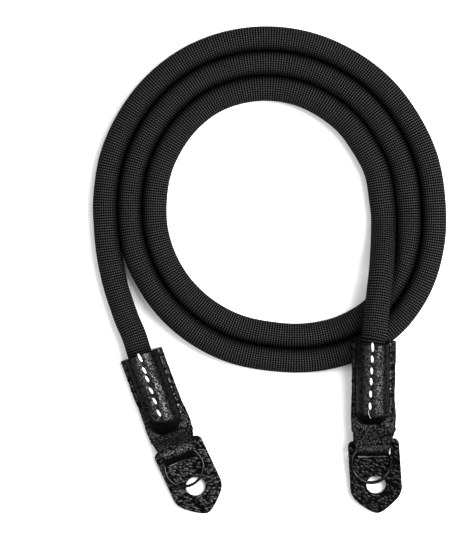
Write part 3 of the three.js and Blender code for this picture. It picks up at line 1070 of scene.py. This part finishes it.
def make_ring(side):
    end = ends[side]
    own = tab_matrix(end) @ Matrix.Translation(ring_centre(end) - Vector((0, 0, GAP * 0.7)))
    middle = RING_OUT - RING_WIRE / 2
    finish_angle = math.radians(end["ring_end"] - end["lean"] - end["tab_lean"])

    def on_the_wire(u, v, column, row):
        wound = STEP_SHARE + v * (2 - 2 * STEP_SHARE)
        step = ramp(wound, 1 - STEP_SHARE, 2 * STEP_SHARE)
        step = step * step * (3 - 2 * step)
        c, s = np.cos(2 * math.pi * u), np.sin(2 * math.pi * u)
        square = squareness(c, s, WIRE_POWER)
        radius = middle + RING_WIRE / 2 * c * square
        height = TURN_HEIGHT * (0.5 + step) + TURN_HEIGHT / 2 * s * square
        angle = finish_angle + 2 * math.pi * wound
        places = np.column_stack([radius * np.cos(angle), radius * np.sin(angle), height])
        places += (1 - step)[:, None] * np.array([*end["sprung"], 0])
        return in_metres(own, places)

    piece = grid_mesh(f"{side}_split_ring", WIRE_SIDES, WIRE_STEPS, on_the_wire, closed=True)
    piece.data.materials.append(plated.material)
    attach(piece, "root")
    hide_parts(f"{side}_ring")
    print(side, "ring:", len(piece.data.polygons), "faces")


for side in ends:
    make_ring(side)

# %% [markdown]
# ## The stitches
#
# The sleeves are closed with thick white waxed thread. Each stitch is plump in the middle and dives
# into its holes at both ends, the first one round the mouth's edge. A stitch is again a tube round a
# line, with a thickness that changes along it.

# %% Thread material

TWIST = 2.0  # turns of the plies along a stitch

thread = Graph("waxed_thread")
twist_uv = thread.nodes.new("ShaderNodeSeparateXYZ")
thread.links.new(thread.node("ShaderNodeUVMap", settings={"uv_map": UV_NAME}), twist_uv.inputs[0])
round_thread = thread.add(twist_uv.outputs[0], thread.times(twist_uv.outputs[1], TWIST))
plies = thread.math("SINE", thread.times(round_thread, 6 * math.pi))
thread.surface(
    Base_Color=thread.mix(thread.range(plies, -1.0, 0.0), grey(0.55), grey(0.88)),
    Roughness=0.5,
    Normal=thread.bump(plies, 0.08 * MM, 0.8),
    Sheen_Weight=0.2,
)

# %% Threads in the leather

STITCH_STEPS, STITCH_SIDES = 25, 12
THREAD_RADIUS = 0.56
HOLE_DEPTH, ARC_HEIGHT = 0.55, 0.8  # a stitch starts this far under the leather, and rises this far
MOUTH_BEND, MOUTH_DROP = 0.9, 1.3  # the first stitch bends down over the mouth's edge
TAIL_RADIUS, TAIL_SIDES, TAIL_STEPS = 0.08, 8, 20
each_end(
    stitches=(  # each stitch's middle, by distance from the mouth, and its length
        [(1.0, 3.6), (6.4, 2.7), (10.0, 2.6), (15.1, 2.7), (19.5, 2.7), (24.6, 2.8)],
        [(0.7, 3.4), (5.4, 2.6), (10.1, 2.5), (14.5, 2.6), (19.6, 2.6), (24.6, 2.7)],
    ),
    slant=(0.28, 0.12),  # how far each of its ends lies to the side
)


def leather_top(end, x, distance):
    """The height of the leather's upper face, the groove included"""
    sections = [arch_section(end, max(along, 0)) for along in distance]
    heights = [np.interp(across, s[:, 0], s[:, 1]) for across, s in zip(x, sections)]
    return np.array(heights) - groove(end, x, distance)


def thread_piece(name, end, line, radii, sides):
    """A tube of changing thickness in a leather end's millimetres"""
    ups, out = side_vectors(line)

    def on_the_thread(u, v, column, row):
        around = (2 * math.pi * u)[:, None]
        outwards = np.cos(around) * out[row] + np.sin(around) * ups[row]
        return in_metres(end_matrix(end), line[row] + radii[row][:, None] * outwards)

    return grid_mesh(name, sides, len(line) - 1, on_the_thread, closed=True)


def stitch(end, number, middle, length):
    share = np.linspace(0, 1, STITCH_STEPS)
    distance = middle + (share - 0.5) * length
    x = seam_across(end, distance) + (share - 0.5) * 2 * end["slant"]
    z = leather_top(end, x, distance) - HOLE_DEPTH + ARC_HEIGHT * np.sin(math.pi * share) ** 0.5
    if number == 0:
        z -= MOUTH_DROP * ramp(distance, 0, -MOUTH_BEND)
    y = -distance + end["mouth_cut"] * ramp(distance, MOUTH_CUT_REACH, -MOUTH_CUT_REACH)
    plump = 0.35 + 0.65 * np.sin(math.pi * np.clip(share, 0.02, 0.98)) ** 0.45
    line = np.column_stack([x, y, z])
    return thread_piece(f"stitch_{number}", end, line, THREAD_RADIUS * plump, STITCH_SIDES)


def thread_tail(end):
    """The loose end of the thread, which lies on the slope below the last stitch"""
    x = np.array([-1.6, -2.05, -2.0, -1.6, -1.1])
    distance = np.array([25.6, 26.6, 27.8, 28.8, 29.6])
    z = leather_top(end, x, distance) + np.array([-0.2, 0.15, 0.2, 0.2, 0.15])
    line, _ = evenly(spline(np.column_stack([x, -distance, z])), TAIL_STEPS)
    return thread_piece("tail", end, line, np.full(TAIL_STEPS, TAIL_RADIUS), TAIL_SIDES)


# %% Make the stitches


def join(name, parts):
    """Several small meshes as one piece"""
    bm = bmesh.new()
    for part in parts:
        bm.from_mesh(part.data)
        bpy.data.objects.remove(part)
    return mesh_object(name, bm)


def make_stitches(side):
    end = ends[side]
    made = [stitch(end, number, *row) for number, row in enumerate(end["stitches"])]
    if side == "right":
        made.append(thread_tail(end))
    piece = join(f"{side}_stitches", made)
    piece.data.materials.append(thread.material)
    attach(piece, "root")
    print(side, "stitches:", len(piece.data.polygons), "faces")


for side in ends:
    make_stitches(side)

# %% [markdown]
# ## Floor and light
#
# The table is exposed to pure white. Black leather and nylon hardly show any colour of their own: what
# you see of them is the lights' reflections, so the lights' places decide which parts are bright.
#
# A broad box overhead lights all crowns alike. The key light stands high on the right and makes the
# shadows. A lower one on the right, the kicker, brightens the right lobes of the arches, and a weak
# broad one on the left keeps the left sides from going black. The world adds a dim fill, and a gamma
# under 1 deepens the dark tones.

# %% Floor

FLOOR_HALF = 2.5
SUNK = 0.2 * MM  # the grain's dips stay above the table

bm = bmesh.new()
bmesh.ops.create_grid(bm, x_segments=1, y_segments=1, size=FLOOR_HALF)
floor = mesh_object("floor", bm)
floor.location.z = -SUNK
white = Graph("white_table")
white.surface(Base_Color=grey(0.75), Roughness=0.9, Specular_IOR_Level=0.1)
floor.data.materials.append(white.material)

# %% Lights

WORLD_LIGHT = 0.27
PICTURE_GAMMA = 0.8


def softbox(name, azimuth, elevation, distance, size, watts):
    """A square light that faces the strap's middle. Azimuth runs anticlockwise from +X, and both
    angles are in degrees. The distance and the size are in metres."""
    a, e = math.radians(azimuth), math.radians(elevation)
    towards = Vector((math.cos(a) * math.cos(e), math.sin(a) * math.cos(e), math.sin(e)))
    light = bpy.data.objects.new(name, bpy.data.lights.new(name, "AREA"))
    light.data.size = size
    light.data.energy = watts
    light.location = towards * distance
    light.rotation_euler = towards.to_track_quat("Z", "Y").to_euler()
    light.visible_camera = False
    bpy.context.scene.collection.objects.link(light)


softbox("overhead", 180, 88, 1.6, 2.2, 23)
softbox("key", 25, 66, 1.6, 0.6, 22)
softbox("kicker", -2, 41, 1.6, 0.6, 38)
softbox("left_fill", 178, 46, 2.5, 1.2, 30)

world = bpy.data.worlds.new("studio")
world.use_nodes = True
world.node_tree.nodes["Background"].inputs["Color"].default_value = grey(1.0)
world.node_tree.nodes["Background"].inputs["Strength"].default_value = WORLD_LIGHT
bpy.context.scene.world = world
bpy.context.scene.view_settings.view_transform = "Standard"
bpy.context.scene.view_settings.gamma = PICTURE_GAMMA
print("lights:", [light.name for light in bpy.data.lights])
